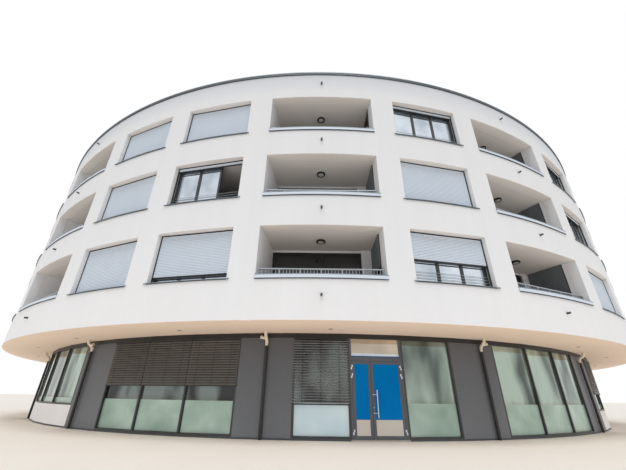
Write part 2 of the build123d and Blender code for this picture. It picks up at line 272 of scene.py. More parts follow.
def newGroup(name, inputs, outputs=("Mask",)):
    group = bpy.data.node_groups.new(name, "ShaderNodeTree")
    for label, value in inputs.items():
        socket = group.interface.new_socket(name=label, in_out="INPUT", socket_type="NodeSocketFloat")
        socket.default_value = value
    for label in outputs:
        group.interface.new_socket(name=label, in_out="OUTPUT", socket_type="NodeSocketFloat")
    given, results = group.nodes.new("NodeGroupInput").outputs, group.nodes.new("NodeGroupOutput").inputs
    return group, given, results, addNode(group, "TexCoord", {}).outputs["Object"]


def makeGrain():  # fine even grain: plaster, paint or cast metal
    group, given, results, place = newGroup("fineGrain", {"Scale": 60.0, "Contrast": 1.0}, ("Mask", "Height"))
    fine = noiseNode(group, place, given["Scale"], 5.0, 0.6)
    coarse = noiseNode(group, place, mathNode(group, "MULTIPLY", given["Scale"], 0.21), 3.0, 0.55)
    both = mathNode(group, "MULTIPLY_ADD", fine, 0.65, mathNode(group, "MULTIPLY", coarse, 0.35))
    feed(group, results["Mask"], contrastOf(group, both, given["Contrast"]))
    feed(group, results["Height"], both)
    return group


def makeNoise(name, inputs, stretch, scale, detail, roughness):  # soft noise, stretched along the axes
    group, given, results, place = newGroup(name, inputs)
    factors = {axis: given[value] if isinstance(value, str) else value for axis, value in enumerate(stretch)}
    joined = addNode(group, "CombineXYZ", factors).outputs[0]
    stretched = addNode(group, "VectorMath", {0: place, 1: joined}, operation="MULTIPLY").outputs[0]
    noise = noiseNode(group, stretched, given["Scale"] if scale is None else scale, detail, roughness)
    feed(group, results["Mask"], contrastOf(group, noise, given["Contrast"]))
    return group


def makeHeights():  # grows from 0 to 1 between two heights
    group, given, results, place = newGroup("heightShade", {"Low": 12.0, "High": 13.3})
    height = addNode(group, "SeparateXYZ", {0: place}).outputs[2]
    ends = {"Value": height, "From Min": given["Low"], "From Max": given["High"]}
    feed(group, results["Mask"], addNode(group, "MapRange", ends).outputs[0])
    return group


groups = {
    "grain": makeGrain(),
    "streaks": makeNoise("rainStreaks", {"Width": 3.0, "Length": 0.25, "Contrast": 1.5},
                         ("Width", "Width", "Length"), 1.0, 4.0, 0.6),
    "patches": makeNoise("softPatches", {"Scale": 0.4, "Contrast": 2.0, "Squeeze": 1.0},
                         (1.0, 1.0, "Squeeze"), None, 2.0, 0.5),
    "heights": makeHeights(),
}


def placeGroup(tree, name, **values):
    return addNode(tree, "Group", values, node_tree=groups[name]).outputs


def newMaterial(name):
    material = bpy.data.materials.new(name)
    material.use_nodes = True
    return material, material.node_tree, material.node_tree.nodes["Principled BSDF"].inputs


# What a look doesn't say comes from plainLook, or for glass, which has an ior, from plainGlass. A streak is its
# colour, amount, width and length, and a top is painted shade: its colour and the two heights between which it sets in.
# A rough pair is the least and the greatest roughness.
plainLook = dict(
    grain=60, grainContrast=1.6, patchScale=0.5, patchContrast=2.2, squeeze=1.0, streakContrast=1.8,
    rough=(0.35, 0.5), bump=0.1, bumpDepth=0.002, metallic=0.0, specular=0.5, coat=0.0, coatRoughness=0.08,
)
# in glass the patches of lighter and darker colour are painted reflections
plainGlass = dict(
    grain=1.6, grainContrast=1.0, patchScale=0.7, patchContrast=2.0, squeeze=1.0,
    rough=(0.01, 0.05), bump=0.15, bumpDepth=0.01, metallic=0.0,
)
wallLook = dict(grain=70, rough=(0.75, 0.92), bump=0.4)
filmLook = dict(grain=2.5, patchScale=0.7, rough=(0.12, 0.3), coat=0.4, bump=0.02)
looks = {
    # the plaster's top darkens it just under the roof edge: painted shade
    "plaster": dict(
        light=(238, 239, 242), dark=(226, 227, 231), patch=(231, 232, 236), grain=90, patchScale=0.35,
        rough=(0.75, 0.92), bump=0.35, streak=((205, 205, 205), 0.16, 2.2, 0.12), top=((208, 212, 220), 12.3, 13.35)),
    # the soffit colour, warmer and darker than the plaster, is painted shade with warm light bounced up from the ground
    "soffitPaint": dict(light=(225, 206, 190), dark=(211, 191, 173), patch=(214, 195, 177), **wallLook),
    # the ceiling colour, darker and warmer than the plaster, is painted shade with warm bounce light
    "ceilingPaint": dict(light=(230, 225, 222), dark=(214, 209, 205), patch=(217, 212, 208), **wallLook),
    "concrete": dict(light=(196, 192, 186), dark=(170, 166, 160), grain=30, rough=(0.7, 0.9), bump=0.4),
    "sheetMetal": dict(
        light=(150, 162, 172), dark=(130, 142, 152), patch=(136, 148, 158), grain=40, metallic=0.35,
        streak=((120, 128, 134), 0.3, 9.0, 1.0)),
    "darkSheet": dict(light=(92, 98, 104), dark=(72, 78, 84), grain=40, rough=(0.4, 0.55), metallic=0.3),
    "slatPaint": dict(light=(218, 228, 242), dark=(201, 212, 226), patch=(205, 216, 230), grain=50, rough=(0.4, 0.55)),
    "greySlats": dict(light=(128, 133, 139), dark=(108, 113, 119), grain=50, rough=(0.4, 0.55)),
    "blackRubber": dict(light=(34, 35, 37), dark=(20, 21, 23), rough=(0.5, 0.7), bump=0.3),
    "blackPaint": dict(light=(42, 40, 40), dark=(28, 27, 28), bump=0.3),
    "windowPaint": dict(light=(72, 76, 80), dark=(52, 55, 59), bump=0.12),
    "darkFrame": dict(light=(60, 60, 63), dark=(42, 42, 45), bump=0.12, streak=((84, 83, 82), 0.2, 12.0, 0.5)),
    "doorPaint": dict(light=(86, 93, 103), dark=(66, 72, 81), bump=0.12, streak=((104, 107, 112), 0.25, 12.0, 0.5)),
    # the panels' top darkens them towards the soffit above: painted shade
    "darkCladding": dict(
        light=(109, 114, 122), dark=(95, 100, 108), patch=(92, 97, 104), grain=25, rough=(0.38, 0.52),
        streak=((112, 112, 112), 0.25, 6.0, 0.2), top=((70, 70, 73), 0.3, 3.6), bump=0.12),
    "fasciaPaint": dict(light=(36, 34, 33), dark=(24, 22, 22), grain=40, rough=(0.4, 0.55)),
    "railPaint": dict(light=(182, 187, 192), dark=(156, 162, 168), rough=(0.3, 0.45), metallic=0.5),
    "pipeZinc": dict(light=(56, 54, 54), dark=(34, 33, 33), patch=(42, 40, 40), grain=30, metallic=0.3, bump=0.15),
    "elbowZinc": dict(light=(234, 223, 207), dark=(198, 186, 169), grain=25, rough=(0.3, 0.5), metallic=0.1, bump=0.15),
    "brushedSteel": dict(
        light=(236, 238, 242), dark=(206, 210, 216), grain=120, rough=(0.25, 0.4), metallic=0.6, bump=0.05),
    "blindSlat": dict(light=(122, 120, 119), dark=(98, 96, 95), grain=40, metallic=0.2),
    "paleSlat": dict(light=(176, 178, 182), dark=(140, 143, 148), grain=3, grainContrast=3.0, metallic=0.2, bump=0.05),
    "frostFilm": dict(light=(208, 232, 225), dark=(148, 178, 167), patch=(130, 158, 147), **filmLook),
    "paleFilm": dict(light=(238, 252, 254), dark=(202, 226, 232), patch=(192, 216, 228), **filmLook),
    "posterBlue": dict(
        light=(0, 128, 200), dark=(0, 112, 184), patch=(0, 106, 176), grain=3, rough=(0.4, 0.5), specular=0.03,
        bump=0.02),
    "posterPale": dict(light=(206, 201, 194), dark=(188, 183, 176), grain=3, rough=(0.15, 0.3), coat=0.3, bump=0.02),
    "posterWhite": dict(light=(226, 238, 250), dark=(206, 224, 244), grain=3, rough=(0.2, 0.4), bump=0.3),
    "lampShade": dict(light=(214, 212, 206), dark=(190, 188, 182), grain=40, rough=(0.3, 0.5), bump=0.3),
    # the window panes' pale and darker blue patches are painted sky reflections
    "skyGlass": dict(
        light=(226, 233, 241), dark=(172, 183, 195), patchContrast=2.5, patchScale=0.9, ior=1.6, transmission=0.05,
        metallic=0.9),
    # shop and shade glass have strong patches, stretched upright: painted reflections of buildings
    "shopGlass": dict(
        light=(170, 188, 176), dark=(66, 78, 72), patchContrast=4.5, patchScale=1.1, squeeze=0.3, ior=1.9,
        transmission=0.2, metallic=0.55),
    "shadeGlass": dict(
        light=(112, 122, 120), dark=(22, 24, 26), patchContrast=5.0, patchScale=1.4, squeeze=0.5, ior=1.9,
        transmission=0.2, metallic=0.55),
    "warmGlass": dict(light=(224, 208, 187), dark=(150, 140, 128), ior=1.9, transmission=0.1, metallic=0.55),
    "darkGlass": dict(light=(60, 60, 60), dark=(30, 30, 31), ior=1.6, transmission=0.2),
}
gravelLook = dict(light=(190, 185, 176), dark=(92, 90, 86), stones=22, rough=(0.75, 0.95), depth=0.02)
sockets = dict(
    metallic="Metallic", specular="Specular IOR Level", coat="Coat Weight", coatRoughness="Coat Roughness",
    ior="IOR", transmission="Transmission Weight",
)


def makeFinish(name, given):
    isGlass = "ior" in given
    look = {**(plainGlass if isGlass else plainLook), **given}
    material, tree, shader = newMaterial(name)
    grain = placeGroup(tree, "grain", Scale=look["grain"], Contrast=look["grainContrast"])
    patches = placeGroup(tree, "patches", Scale=look["patchScale"], Contrast=look["patchContrast"],
                         Squeeze=look["squeeze"])
    colour = srgb(look["light"])
    if not isGlass:
        colour = mixColours(tree, grain["Mask"], srgb(look["dark"]), colour)
    colour = mixColours(tree, patches["Mask"], srgb(look.get("patch", look["dark"])), colour)
    if "streak" in look:
        tone, amount, width, length = look["streak"]
        streaks = placeGroup(tree, "streaks", Width=width, Length=length, Contrast=look["streakContrast"])
        colour = mixColours(tree, mapRange(tree, streaks["Mask"], 0.0, amount), colour, srgb(tone))
    # a top darkens the colour from its lower height upwards: painted shade
    if "top" in look:
        tone, low, high = look["top"]
        colour = mixColours(tree, placeGroup(tree, "heights", Low=low, High=high)["Mask"], colour, srgb(tone))
    feed(tree, shader["Base Color"], colour)
    feed(tree, shader["Roughness"], mapRange(tree, grain["Mask"], *look["rough"]))
    for key in [key for key in sockets if key in look]:
        feed(tree, shader[sockets[key]], look[key])
    relief = {"Strength": look["bump"], "Distance": look["bumpDepth"], "Height": grain["Height"]}
    feed(tree, shader["Normal"], addNode(tree, "Bump", relief).outputs[0])
    return material


def makeGravel(name, look):
    material, tree, shader = newMaterial(name)
    place = addNode(tree, "TexCoord", {}).outputs["Object"]
    stones = addNode(tree, "TexVoronoi", {"Scale": look["stones"], "Vector": place}).outputs
    tint = addNode(tree, "SeparateColor", {0: stones["Color"]}).outputs[0]
    feed(tree, shader["Base Color"], mixColours(tree, tint, srgb(look["dark"]), srgb(look["light"])))
    feed(tree, shader["Roughness"], mapRange(tree, stones["Distance"], *look["rough"]))
    relief = {"Distance": look["depth"], "Height": stones["Distance"]}
    feed(tree, shader["Normal"], addNode(tree, "Bump", relief, invert=True).outputs[0])
    return material


finishes = {name: makeFinish(name, look) for name, look in looks.items()}
finishes["gravelStone"] = makeGravel("gravelStone", gravelLook)
print("materials are ready")


# White wall of the upper storeys

wallEdge = 0.012


def wallColumns():  # angle, inner radius and openness of each cell of the wall
    columns = []
    for opening in openings:
        for kind, start, half in ((opening.kind, opening.start, opening.half),
                                  ("pillar", opening.end, pillarAngle / 2)):
            for i in range(plan["cells"][kind]):
                angle = start + 2 * half * i / plan["cells"][kind]
                chord = innerRadius * cos(radians(half)) / cos(radians(angle - start - half))
                columns.append((angle, chord, kind != "pillar"))
    return columns


def makeWhiteWall():
    columns, shape = wallColumns(), Shape()
    levels = [groundHeight] + [level for s in storeys for level in (parapets[s], ceilings[s])] + [wallTop]
    rows = len(levels)
    shape.points = [around(radius, angle, level) for angle, chord, isOpen in columns for level in levels
                    for radius in (wallRadius, chord)]

    def solid(column, row):
        return 0 <= row < rows - 1 and not (columns[column % len(columns)][2] and row % 2 == 1)

    def addFace(corners, mark):
        shape.faces.append([column % len(columns) * 2 * rows + 2 * row + inside for column, row, inside in corners])
        shape.marks.append(mark)

    for c, r in ((c, r) for c in range(len(columns)) for r in range(rows - 1) if solid(c, r)):
        corners = [(c, r), (c + 1, r), (c + 1, r + 1), (c, r + 1)]
        addFace([(*corner, 0) for corner in corners], 0)
        addFace([(*corner, 1) for corner in reversed(corners)], 0)
        # undersides take the soffit colour at the foot of the wall and the ceiling colour under the heads: painted
        # shade and warm bounce light
        for side, column, row, mark in ((3, c - 1, r, 0), (1, c + 1, r, 0), (0, c, r - 1, 2 if r else 1),
                                        (2, c, r + 1, 0)):
            if not solid(column, row):  # a face where the next cell that way is empty
                first, second = corners[side], corners[(side + 1) % 4]
                addFace([(*second, 0), (*first, 0), (*first, 1), (*second, 1)], mark)
    shape.piece("white_wall", "plaster soffitPaint ceilingPaint", "white_render",
                replaced="pillars roof_parapet spandrels_1 spandrels_2 spandrels_3", bevel=wallEdge)


makeWhiteWall()
print("white wall is built")


# Sheet metal on the sills, the loggia parapets and the roof edge. A row is a strip: near and far side from the
# wall's face, lower and upper edge, fall outwards, reach past the jambs and finish.
trim = dict(
    sillHeight=0.045, copingHeight=0.15, sillEdge=0.003, copingEdge=0.004,
    # the last strip of each sill, loggia coping and roof edge has a dark finish: painted shade under its edge
    window=[(-0.27, 0, 0.005, 0.045, 0.012, 0, 0), (0.001, 0.046, 0.012, 0.033, 0.003, 0.09, 0),
            (0.034, 0.05, 0, 0.011, 0, 0.09, 1)],
    loggia=[(-0.36, 0, 0.002, 0.15, 0.006, 0, 0), (0.001, 0.05, 0.12, 0.144, 0.002, 0.025, 0),
            (0.001, 0.044, 0.014, 0.12, 0, 0.025, 1), (0.001, 0.046, 0, 0.013, 0, 0.025, 2)],
    roof=[(-0.39, 0.05, 0.09, roofTop - wallTop, 0.01, -0.002, 0), (-0.39, 0.038, 0, 0.09, 0, -0.002, 1)],
)


def addStrips(shape, opening, base, rows, more=0):
    for near, far, low, high, fall, lap, mark in rows:
        turn = more + degrees(lap / wallRadius)
        shape.band((wallRadius + near, wallRadius + far), (base + low, base + high), opening.start - turn,
                   opening.end + turn, plan["cells"][opening.kind], mark, fall)


def makeTrim():
    shapes = {kind: Shape() for kind in ("window", "loggia", "roof")}
    for storey, opening in product(storeys, openings):
        addStrips(shapes[opening.kind], opening, parapets[storey], trim[opening.kind])
    for opening in openings:
        addStrips(shapes["roof"], opening, wallTop, trim["roof"], pillarAngle / 2)
    for kind, name, paints, replaced, edge in (
            ("window", "window_sills", "sheetMetal blackRubber", "sills_and_copings", "sillEdge"),
            ("loggia", "loggia_copings", "sheetMetal slatPaint darkSheet", "", "copingEdge"),
            ("roof", "roof_edge", "sheetMetal darkSheet", "roof_coping", "copingEdge")):
        shapes[kind].piece(name, paints, "coping_metal", replaced=replaced, bevel=trim[edge])


makeTrim()
print("sills and copings are built")


# Windows with three sashes, guide rails, guard bars and roller shutters

window = dict(
    setback=0.26, depth=0.07, frame=0.065, sash=0.055, sashes=3, sashBack=0.014, glass=0.024,
    lap=0.01, play=0.008, mullion=0.04, mullionBack=0.004, edge=0.004,
    guards=[0.09, 0.19, 0.29, 0.39], guardRadius=0.008, guardSetback=0.244,
    openSash={(1, 17): 2}, openTurn=70,  # storey and window number, and which of its sashes
)
shutter = dict(
    setback=0.165, slat=0.055, bulge=0.008, thickness=0.004, groove=0.002, guide=0.045,
    guideDepth=0.035, guideProud=0.008, guideEdge=0.003, bar=0.045, barDepth=0.02, barEdge=0.004,
    play=0.01, slot=0.045, slotProud=0.004, curtainGap=0.03,
    profile=[(0.0, 0.0), (0.25, 0.8), (0.55, 1.0), (0.84, 0.5), (0.86, -0.8), (1.0, -0.8)],
    drops=[[0.58, 1, 1, 0.75, 1, 0.89], [1, 0.1, 1, 1, 1, 0.1], [0.1, 0.1, 0.5, 1, 1, 1]],
    sideDrops=[[0.45, 1], [1, 1], [0, 1]],
)
loggia = dict(
    depth=2.02, returnDepth=0.14, post=0.47, backSet=0.06, thickness=0.08, frame=0.07, sash=0.06,
    head=0.08, headProud=0.01, middle=0.54, mullion=0.07, mullionBack=0.006, sashBack=0.02,
    glass=0.024, boxHeight=0.26, sideSash=0.015, sideGlass=0.03, edge=0.004,
)


def glaze(frames, panes, spot, across, deep, height, bar, pane):  # a frame of bars with its pane
    inner, rise = frames.frame(spot, across, deep, height, bar)
    panes.box(spot, inner, pane, rise)


def makeWindows():
    frames, panes, guards, rails = Shape(), Shape(), Shape(), Shape()
    for storey, opening in product(storeys, windows):
        low, high = parapets[storey] + trim["sillHeight"], ceilings[storey]
        spot, out = opening.spot, opening.face - window["setback"]
        back = out - window["depth"]
        half = back * opening.slope
        inner, rise = frames.frame(spot, (-half, half), (back, out), (low, high), window["frame"])
        width = (inner[1] - inner[0]) / window["sashes"]
        height = (rise[0] - window["lap"], rise[1] + window["lap"])
        for i in range(window["sashes"]):
            left = inner[0] + i * width
            if i:
                frames.box(spot, span(left, window["mullion"]), (back, out - window["mullionBack"]), rise)
            place, across, front = spot, (left + window["play"], left + width - window["play"]), out
            if window["openSash"].get((storey, opening.number)) == i:
                pivot, swing = spotPoint(spot, left + width, back, 0).xy, radians(window["openTurn"])
                tip = pivot - width * cos(swing) * spot[1] - width * sin(swing) * spot[2]
                place, across, front = lineSpot(pivot, tip), (window["lap"], width), window["depth"]
            deep = (front - window["depth"], front - window["sashBack"])
            glaze(frames, panes, place, across, deep, height, window["sash"], span(sum(deep) / 2, window["glass"]))
        bar = opening.face - window["guardSetback"]
        for level in window["guards"]:
            ends = [spotPoint(spot, side * bar * opening.slope, bar, low + level) for side in (-1, 1)]
            guards.tube(ends, window["guardRadius"], 8)
        plane = opening.face - shutter["setback"]
        back = plane - shutter["guideDepth"]
        reach = back * opening.slope
        for side in (-1, 1):
            edges = sorted((side * reach, side * (reach - shutter["guide"])))
            rails.box(spot, edges, (back, plane + shutter["guideProud"]), (low, high))
        # a black strip across the head, above the curtain: painted shadow in the gap under the lintel
        rails.box(spot, (-reach, reach), (back, plane + shutter["slotProud"]), (high - shutter["slot"], high))
    frames.piece("window_frames", "windowPaint", "window_unit", replaced="windows", bevel=window["edge"])
    panes.piece("window_panes", "skyGlass", "window_unit")
    guards.piece("guard_bars", "railPaint", "railing_metal")
    rails.piece("shutter_guides", "blackRubber", "dark_frame", bevel=shutter["guideEdge"])


def addCurtain(slats, spot, across, plane, height, mark=0):  # bulging slats with dark grooves between them
    profile, (low, top) = [], height
    slat, bulge = shutter["slat"], shutter["bulge"]
    while top - slat > low:
        profile += [(plane - bulge + share * bulge, top - drop * slat) for drop, share in shutter["profile"]]
        top -= slat
        # a dark strip in each groove between slats: painted shade
        slats.box(spot, across, span(plane - 1.8 * bulge, shutter["groove"]), (top + 0.001, top + 0.13 * slat), 2)
    back = plane - 2 * bulge - shutter["thickness"]
    profile += [(back, profile[-1][1]), (back, height[1])]
    slats.loft([[spotPoint(spot, u, v, z) for v, z in profile] for u in across], mark)


def makeShutters():
    slats, bars = Shape(), Shape()
    for storey in storeys:
        low, high = parapets[storey] + trim["sillHeight"], ceilings[storey] - shutter["slot"]
        drops, sideDrops = shutter["drops"][storey], shutter["sideDrops"][storey]
        for opening in windows:
            plane = opening.face - shutter["setback"]
            half = (plane - shutter["guideDepth"]) * opening.slope - shutter["play"]
            bottom = high - drops[opening.number % len(drops)] * (high - low)
            across, top = (-half, half), bottom + shutter["bar"]
            bars.box(opening.spot, across, (plane - shutter["barDepth"], plane), (bottom, top))
            addCurtain(slats, opening.spot, across, plane, (top - shutter["barDepth"], high))
        for opening in loggias:
            drop, top = sideDrops[opening.number % 2], ceilings[storey]
            if drop:
                spot, length = sideSpot(opening)
                addCurtain(slats, spot, (shutter["curtainGap"], length - shutter["play"]),
                           loggia["thickness"] + shutter["curtainGap"], (top - drop * plan["clearHeight"], top), 1)
    slats.piece("shutter_slats", "slatPaint greySlats windowPaint", "shutter_slats",
                replaced="roller_shutters", smooth=25)
    bars.piece("shutter_bars", "blackRubber", "dark_frame", bevel=shutter["barEdge"])


def sideLine(opening):  # across from the middle of a loggia to its glazed side
    return (innerRadius - loggia["returnDepth"]) * sin(opening.bend) + loggia["backSet"]


def sideSpot(opening):  # the spot and the length of that side
    front = (innerRadius - loggia["returnDepth"]) * cos(opening.bend)
    ends = (front, wallRadius - loggia["depth"])
    start, end = [spotPoint(opening.spot, sideLine(opening), out, 0).xy for out in ends]
    return lineSpot(start, end), (end - start).length


makeWindows()
makeShutters()
print("windows and shutters are built")


# Loggias. A lamp's rings are shares of its radius and drops below the ceiling, for its housing and its shade.
lamp = dict(
    radius=0.16, inset=1.18, sides=24,
    rings=[[(0.9, 0), (1, 0.012), (1, 0.07), (0.94, 0.08), (0.72, 0.08), (0.7, 0.07)],
           [(0.7, 0.065), (0.6, 0.082), (0.3, 0.09)]],
)
railing = dict(
    height=0.27, size=0.04, setback=0.19, posts=6, balusters=5, baluster=0.014, play=0.002,
    inset=0.01, lowRail=(0.03, 0.045), balusterSet=0.02, footing=0.004,
)


def addLamp(shape, point, top, look):
    spot = (point.xy, Vector((1, 0)), Vector((0, 1)))
    for mark, rings in enumerate(look["rings"]):
        shape.turned(spot, [(share * look["radius"], top - drop) for share, drop in rings], look["sides"], mark)


def makeLoggias():
    frames, panes, heads, lamps = Shape(), Shape(), Shape(), Shape()
    front = wallRadius - loggia["depth"] - loggia["backSet"]
    back, centre = front - loggia["thickness"], front - loggia["thickness"] / 2
    for storey, opening in product(storeys, loggias):
        low, high, spot = floors[storey], ceilings[storey], opening.spot
        under = high - loggia["head"]
        left, right = -back * opening.slope, sideLine(opening) - loggia["post"]
        heads.box(spot, (left, right), (back, front + loggia["headProud"]), (under, high))
        inside, rise = frames.frame(spot, (left, right), (back, front), (low, under), loggia["frame"])
        middle = span(left + loggia["middle"] * (right - left), loggia["mullion"])
        frames.box(spot, middle, (back, front - loggia["mullionBack"]), rise)
        for ends in ((inside[0], middle[0]), (middle[1], inside[1])):
            glaze(frames, panes, spot, ends, (back, front - loggia["sashBack"]), rise, loggia["sash"],
                  (centre - loggia["glass"], centre))
        makeSideDoor(frames, panes, opening, low, high)
        addLamp(lamps, spotPoint(spot, 0, wallRadius - lamp["inset"], 0), high, lamp)
    frames.piece("loggia_frames", "blackPaint windowPaint", "dark_frame", replaced="loggia_glazing",
                 bevel=loggia["edge"])
    panes.piece("loggia_panes", "darkGlass", "loggia_glazing")
    heads.piece("loggia_heads", "plaster", "white_render", bevel=loggia["edge"])
    lamps.piece("ceiling_lamps", "blackRubber lampShade", "dark_frame")


def makeSideDoor(frames, panes, opening, low, high):
    spot, length = sideSpot(opening)
    across, deep, under = (0, length), (0, loggia["thickness"]), high - loggia["boxHeight"]
    frames.box(spot, across, deep, (under, high), 1)
    inner, rise = frames.frame(spot, across, deep, (low, under), loggia["frame"])
    glaze(frames, panes, spot, inner, (loggia["sideSash"], loggia["thickness"]), rise, loggia["sash"],
          (loggia["sideGlass"], loggia["sideGlass"] + loggia["glass"]))


def makeRailings():
    rails, size, thin = Shape(), railing["size"], railing["baluster"]
    for storey, opening in product(storeys, loggias):
        low = parapets[storey] + trim["copingHeight"]
        top, lowRail = low + railing["height"], [low + rise for rise in railing["lowRail"]]
        spot, out = opening.spot, opening.face - railing["setback"]
        deep = (out - size, out)
        half = deep[0] * opening.slope - railing["play"]
        rails.box(spot, (-half, half), deep, (top - size, top))
        rails.box(spot, (-half, half), (deep[0] + railing["inset"], out - railing["inset"]), lowRail)
        step = (2 * half - size) / railing["posts"]
        for i in range(railing["posts"] + 1):
            left = -half + i * step
            rails.box(spot, (left, left + size), deep, (low - railing["footing"], top - size))
            for k in range(railing["balusters"] if i < railing["posts"] else 0):
                x = left + size + (step - size) * (k + 1) / (railing["balusters"] + 1)
                rails.box(spot, span(x, thin), span(out - railing["balusterSet"], thin), (lowRail[1], top - size))
    rails.piece("loggia_rails", "railPaint", "railing_metal", replaced="loggia_railings")


makeLoggias()
makeRailings()
print("loggias are built")


# Overflow spouts, soffit skin in painted warm bounce light, downlights and rainwater pipes. A neck's row is its share
# of the reach, what is added to it and the drop below the soffit.
spout = dict(radius=0.036, ends=(-0.03, 0.12), rise=0.285, roofRise=0.395, sides=10, edge=0.004)
soffit = dict(skin=0.003, lap=0.06, edge=0.02, steps=240)
downlight = dict(
    radius=0.075, circle=18.65, sides=20, angles=[-30.3, -14.5, 1.0] + [33.5 + 15.65 * i for i in range(19)],
    rings=[[(1, -0.002), (1, 0.006), (0.8, 0.008), (0.75, 0.002)], [(0.74, 0.001), (0.5, 0.004)]],
)
pipe = dict(
    radius=0.05, gap=0.02, reach=0.22, shifts={0: 1.2, 13: -1.67}, collar=0.006, collarHeight=0.035,
    neck=[(1, 0, 0), (1, 0, 0.08), (1, -0.03, 0.13), (0, 0.03, 0.25), (0, 0, 0.3), (0, 0, 0.42)],
    neckCollars=[(0.22, 0.03), (0, 0.31)], neckCollar=0.012, neckCollarHeight=0.025,
    branch=[(0, 0), (0.06, 0), (0.17, 0.03)], branchDrop=0.19, leftBranches=[14],
    collarDrop=0.45, levels=(1.95, 0.35), clip=0.03,
)


def makeSpouts():
    spouts = Shape()
    rises = [level + spout["rise"] for level in floors] + [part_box("roof_slab")[1].z + spout["roofRise"]]
    for opening in loggias:
        for z in rises:
            path = [spotPoint(opening.spot, 0, wallRadius + reach, z) for reach in spout["ends"]]
            spouts.tube(path, spout["radius"], spout["sides"])
    spouts.piece("spouts", "windowPaint", "dark_frame", replaced="overflow_spouts", bevel=spout["edge"])


def makeSoffit():  # a thin skin over the joint of slab and wall, in the soffit colour that holds painted warm bounce light
    skin = Shape()
    skin.band((groundRadius - soffit["lap"], wallRadius - soffit["edge"]),
              (groundHeight - soffit["skin"], groundHeight + 0.001), 0, 360, soffit["steps"], closed=True)
    skin.piece("soffit_skin", "soffitPaint", "concrete")


def makeDownlights():
    lights = Shape()
    for angle in downlight["angles"]:
        addLamp(lights, around(downlight["circle"], angle, 0), groundHeight, downlight)
    lights.piece("soffit_lights", "blackRubber windowPaint", "dark_frame")


def makePipes():
    pipes = Shape()
    r, reach, top = pipe["radius"], pipe["reach"], groundHeight

    def upright(spot, out, low, high, radius, mark=0):
        pipes.tube([spotPoint(spot, 0, out, z) for z in (low, high)], radius, mark=mark)

    for panel in panels:
        spot = movedSpot(panel.spot, panel.face * tan(radians(pipe["shifts"].get(panel.kind, 0))), 0)
        out = panel.face + pipe["gap"] + r
        neck = [spotPoint(spot, 0, out + share * reach + more, top - drop) for share, more, drop in pipe["neck"]]
        pipes.tube(neck, r, mark=1)
        for ahead, drop in pipe["neckCollars"]:
            upright(spot, out + ahead, top - drop, top - drop + pipe["neckCollarHeight"], r + pipe["neckCollar"], 1)
        side = -1 if panel.kind in pipe["leftBranches"] else 1
        branch = [spotPoint(spot, side * along, out + reach / 2, top - pipe["branchDrop"] + rise)
                  for along, rise in pipe["branch"]]
        pipes.tube(branch, r * 0.9, mark=1)
        pipes.tube([branch[2], branch[2] + (branch[2] - branch[1]).normalized() * 0.02], r * 1.1, mark=1)
        upright(spot, out, top - pipe["neck"][-1][2], 0.002, r)
        for z in (top - pipe["collarDrop"], *pipe["levels"]):
            upright(spot, out, z, z + pipe["collarHeight"], r + pipe["collar"])
            pipes.box(spot, span(0, pipe["clip"]), (panel.face, out), (z + 0.005, z + 0.03))
    pipes.piece("rain_pipes", "pipeZinc elbowZinc", "pipe_metal", replaced="downpipes")


makeSpouts()
makeSoffit()
makeDownlights()
makePipes()
print("small fittings are built")


# Ground floor glass, film and slatted blinds

shop = dict(
    mullion=0.06, setback=0.07, thickness=0.024, rail=0.06,
    filmTop=1.0, film=0.002, filmMargin=0.012, flashing=0.004, flashingHeights=(0.002, 0.052),
)
blind = dict(
    gap=0.0003, edge=0.015, depth=0.04, head=0.05, foot=0.035, footInset=0.002,
    pitch=0.078, fold=0.006, thickness=0.0015, tilt=57, openTilt=30,
    bottom=1.415, entranceBottom=0.93, cords=3, cord=0.01, cordDepth=0.003,
)


def barWidths(unit):  # room that the upright bars take on both sides of a pane
    full = shop["mullion"] / cos(unit.bend)
    return [full if isEnd else full / 2 for isEnd in (unit.number == 0, unit.number == plan["panesPerBay"] - 1)]


def makeShopFronts():
    glass, film, slats, flashing = Shape(), Shape(), Shape(), Shape()
    margin = shop["filmMargin"]
    for unit in units:
        if unit == entrance:
            continue
        reach, deep = unit.face * unit.slope, (unit.face, unit.face + shop["flashing"])
        flashing.box(unit.spot, (-reach, reach), deep, shop["flashingHeights"])
        if unit in panels:
            flashing.box(unit.spot, (-reach, reach), deep, (fasciaBottom, groundHeight), 1)
            continue
        low = (floorFinish if unit.kind in plan["glazedBays"] else plinthTop) + shop["rail"]
        front = unit.face - shop["setback"]
        back = front - shop["thickness"]
        left, right = barWidths(unit)
        across = (left - back * unit.slope, back * unit.slope - right)
        atEntrance = unit.kind == entrance.kind and unit.number == 0
        hasBlind = unit.kind in plan["blindBays"] or atEntrance
        glass.box(unit.spot, across, (back, front), (low, fasciaBottom), int(hasBlind))
        if low < shop["filmTop"]:
            film.box(unit.spot, (across[0] + margin, across[1] - margin), (front + skinGap, front + shop["film"]),
                     (low + margin, shop["filmTop"]), int(atEntrance))
        if hasBlind:
            makeBlind(slats, unit, atEntrance)
    glass.piece("shop_glass", "shopGlass shadeGlass", "shop_glass", replaced="ground_glazing")
    film.piece("frosted_film", "frostFilm paleFilm", "shop_glass")
    slats.piece("slatted_blinds", "blindSlat blackPaint paleSlat", "blind_slats", replaced="front_blinds")
    flashing.piece("edge_strips", "darkSheet fasciaPaint", "dark_frame")


